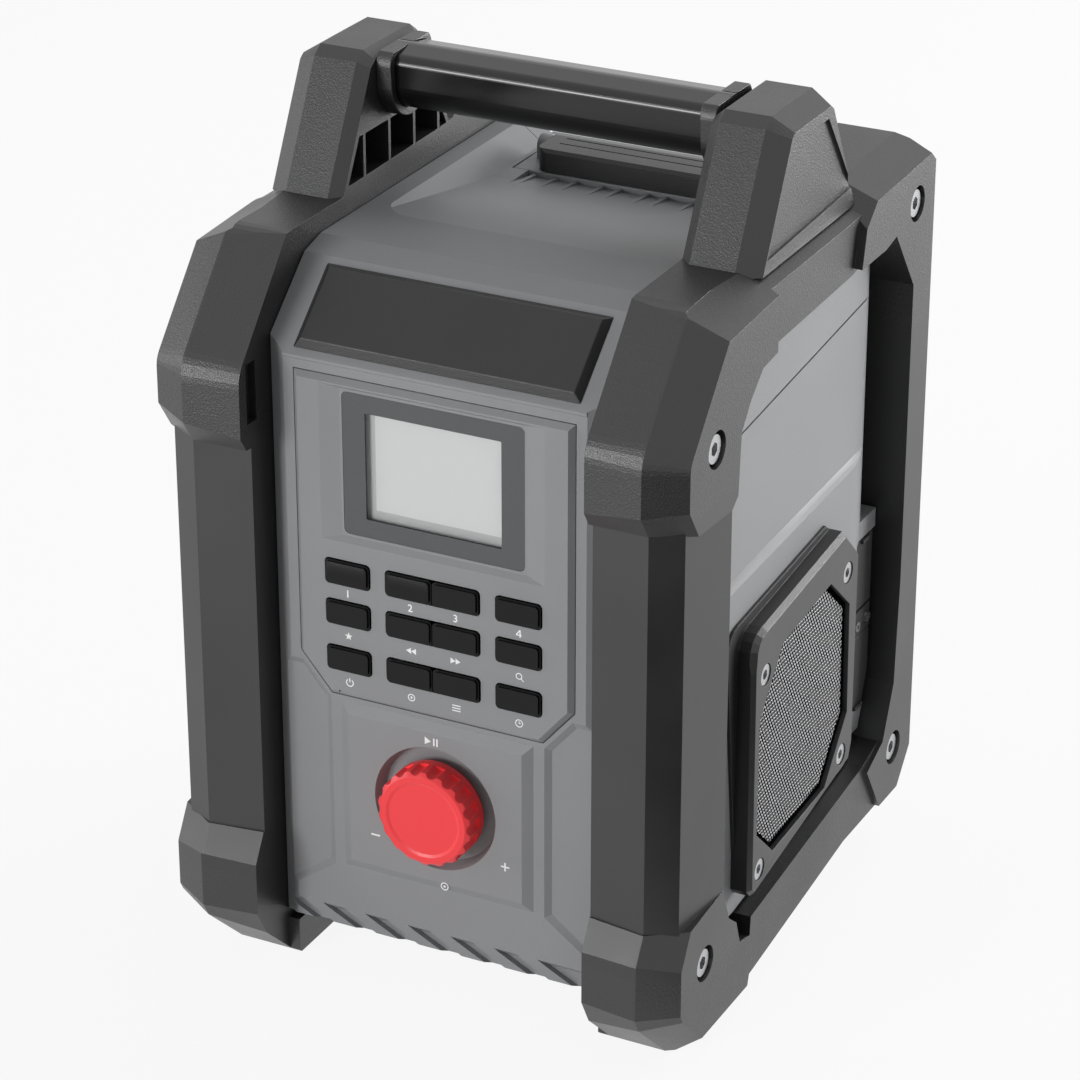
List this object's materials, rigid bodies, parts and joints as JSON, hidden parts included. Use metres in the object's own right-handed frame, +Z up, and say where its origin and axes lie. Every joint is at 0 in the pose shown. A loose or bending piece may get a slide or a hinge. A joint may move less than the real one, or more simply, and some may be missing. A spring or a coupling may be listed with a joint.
{
  "type": "jobsite radio",
  "caption": "Jobsite radio with bumper frames, carry bar, screen, twelve keys, push knob, two side speakers, socket flaps and a latched rear battery door.",
  "frame": {"origin": "centre of the bounding box footprint, on the ground under the feet", "axes": "+X to the viewer's right when facing the controls, +Y from the controls to the battery door, +Z up"},
  "size_m": [0.192, 0.208, 0.308],
  "materials": {
    "housing_grey": "matte",
    "panel_grey": "matte",
    "frame_black": "fine grain",
    "bar_black": "satin",
    "plate_black": "fine grain",
    "key_black": "satin",
    "knob_red": "satin",
    "lens_tint": "clear",
    "lcd_grey": "satin",
    "board_green": "satin",
    "steel": "satin",
    "brass": "satin",
    "speaker_black": "fine grain",
    "grille_black": "matte",
    "cone_black": "matte",
    "rubber_black": "matte",
    "screw_steel": "satin"
  },
  "bodies": {
    "radio": {"housing_front": "housing_grey", "housing_rear": "housing_grey", "control_panel": "panel_grey", "frame_left": "frame_black", "frame_right": "frame_black", "collars": "frame_black", "handle_grip": "bar_black", "name_plate": "plate_black", "screen_lens": "lens_tint", "lcd_module": "lcd_grey", "control_board": "board_green", "encoder": "steel", "key_switches": "steel", "door_pin": "steel", "aux_socket": "steel", "battery_terminals": "brass", "speaker_frame_left": "speaker_black", "speaker_frame_right": "speaker_black", "grille_left": "grille_black", "grille_right": "grille_black", "driver_left": "cone_black", "driver_right": "cone_black", "flap_strip": "rubber_black", "power_socket": "rubber_black", "rear_feet": "rubber_black", "frame_screws": "screw_steel", "speaker_screws": "screw_steel", "strip_screws": "screw_steel"},
    "key_1": {"key_1": "key_black"},
    "key_2": {"key_2": "key_black"},
    "key_3": {"key_3": "key_black"},
    "key_4": {"key_4": "key_black"},
    "key_5": {"key_5": "key_black"},
    "key_6": {"key_6": "key_black"},
    "key_7": {"key_7": "key_black"},
    "key_8": {"key_8": "key_black"},
    "key_9": {"key_9": "key_black"},
    "key_10": {"key_10": "key_black"},
    "key_11": {"key_11": "key_black"},
    "key_12": {"key_12": "key_black"},
    "rotor": {"encoder_rotor": "brass"},
    "push_knob": {"encoder_shaft": "steel", "knob": "knob_red"},
    "upper_flap": {"flap_upper": "rubber_black"},
    "lower_flap": {"flap_lower": "rubber_black"},
    "door": {"battery_door": "housing_grey", "latch_pin": "steel"},
    "latch": {"door_latch": "plate_black"}
  },
  "joints": [
    {"name": "press_key_1", "type": "slide", "parent": "radio", "child": "key_1", "axis": [0, 1, 0], "range_m": [0, 0.0008], "stiffness_N_per_m": 400, "springref_m": -0.0012},
    {"name": "press_key_2", "type": "slide", "parent": "radio", "child": "key_2", "axis": [0, 1, 0], "range_m": [0, 0.0008], "stiffness_N_per_m": 400, "springref_m": -0.0012},
    {"name": "press_key_3", "type": "slide", "parent": "radio", "child": "key_3", "axis": [0, 1, 0], "range_m": [0, 0.0008], "stiffness_N_per_m": 400, "springref_m": -0.0012},
    {"name": "press_key_4", "type": "slide", "parent": "radio", "child": "key_4", "axis": [0, 1, 0], "range_m": [0, 0.0008], "stiffness_N_per_m": 400, "springref_m": -0.0012},
    {"name": "press_key_5", "type": "slide", "parent": "radio", "child": "key_5", "axis": [0, 1, 0], "range_m": [0, 0.0008], "stiffness_N_per_m": 400, "springref_m": -0.0012},
    {"name": "press_key_6", "type": "slide", "parent": "radio", "child": "key_6", "axis": [0, 1, 0], "range_m": [0, 0.0008], "stiffness_N_per_m": 400, "springref_m": -0.0012},
    {"name": "press_key_7", "type": "slide", "parent": "radio", "child": "key_7", "axis": [0, 1, 0], "range_m": [0, 0.0008], "stiffness_N_per_m": 400, "springref_m": -0.0012},
    {"name": "press_key_8", "type": "slide", "parent": "radio", "child": "key_8", "axis": [0, 1, 0], "range_m": [0, 0.0008], "stiffness_N_per_m": 400, "springref_m": -0.0012},
    {"name": "press_key_9", "type": "slide", "parent": "radio", "child": "key_9", "axis": [0, 1, 0], "range_m": [0, 0.0008], "stiffness_N_per_m": 400, "springref_m": -0.0012},
    {"name": "press_key_10", "type": "slide", "parent": "radio", "child": "key_10", "axis": [0, 1, 0], "range_m": [0, 0.0008], "stiffness_N_per_m": 400, "springref_m": -0.0012},
    {"name": "press_key_11", "type": "slide", "parent": "radio", "child": "key_11", "axis": [0, 1, 0], "range_m": [0, 0.0008], "stiffness_N_per_m": 400, "springref_m": -0.0012},
    {"name": "press_key_12", "type": "slide", "parent": "radio", "child": "key_12", "axis": [0, 1, 0], "range_m": [0, 0.0008], "stiffness_N_per_m": 400, "springref_m": -0.0012},
    {"name": "turn_knob", "type": "hinge", "parent": "radio", "child": "rotor", "pos_m": [0, -0.084, 0.0756], "axis": [0, -1, 0], "continuous": true},
    {"name": "push_knob_in", "type": "slide", "parent": "rotor", "child": "push_knob", "axis": [0, 1, 0], "range_m": [0, 0.0006], "stiffness_N_per_m": 3000, "springref_m": -0.0008},
    {"name": "open_upper_flap", "type": "hinge", "parent": "radio", "child": "upper_flap", "pos_m": [0.08485, 0.073, 0.0996], "axis": [0, 1, 0], "range_deg": [0, 90], "stiffness_Nm_per_rad": 0.002},
    {"name": "open_lower_flap", "type": "hinge", "parent": "radio", "child": "lower_flap", "pos_m": [0.08485, 0.073, 0.0874], "axis": [0, -1, 0], "range_deg": [0, 90], "stiffness_Nm_per_rad": 0.002},
    {"name": "open_battery_door", "type": "hinge", "parent": "radio", "child": "door", "pos_m": [0, 0.0944, 0.04], "axis": [-1, 0, 0], "range_deg": [0, 90]},
    {"name": "lift_latch", "type": "hinge", "parent": "door", "child": "latch", "pos_m": [0, 0.0692, 0.2544], "axis": [-1, 0, 0], "range_deg": [0, 30]}
  ]
}
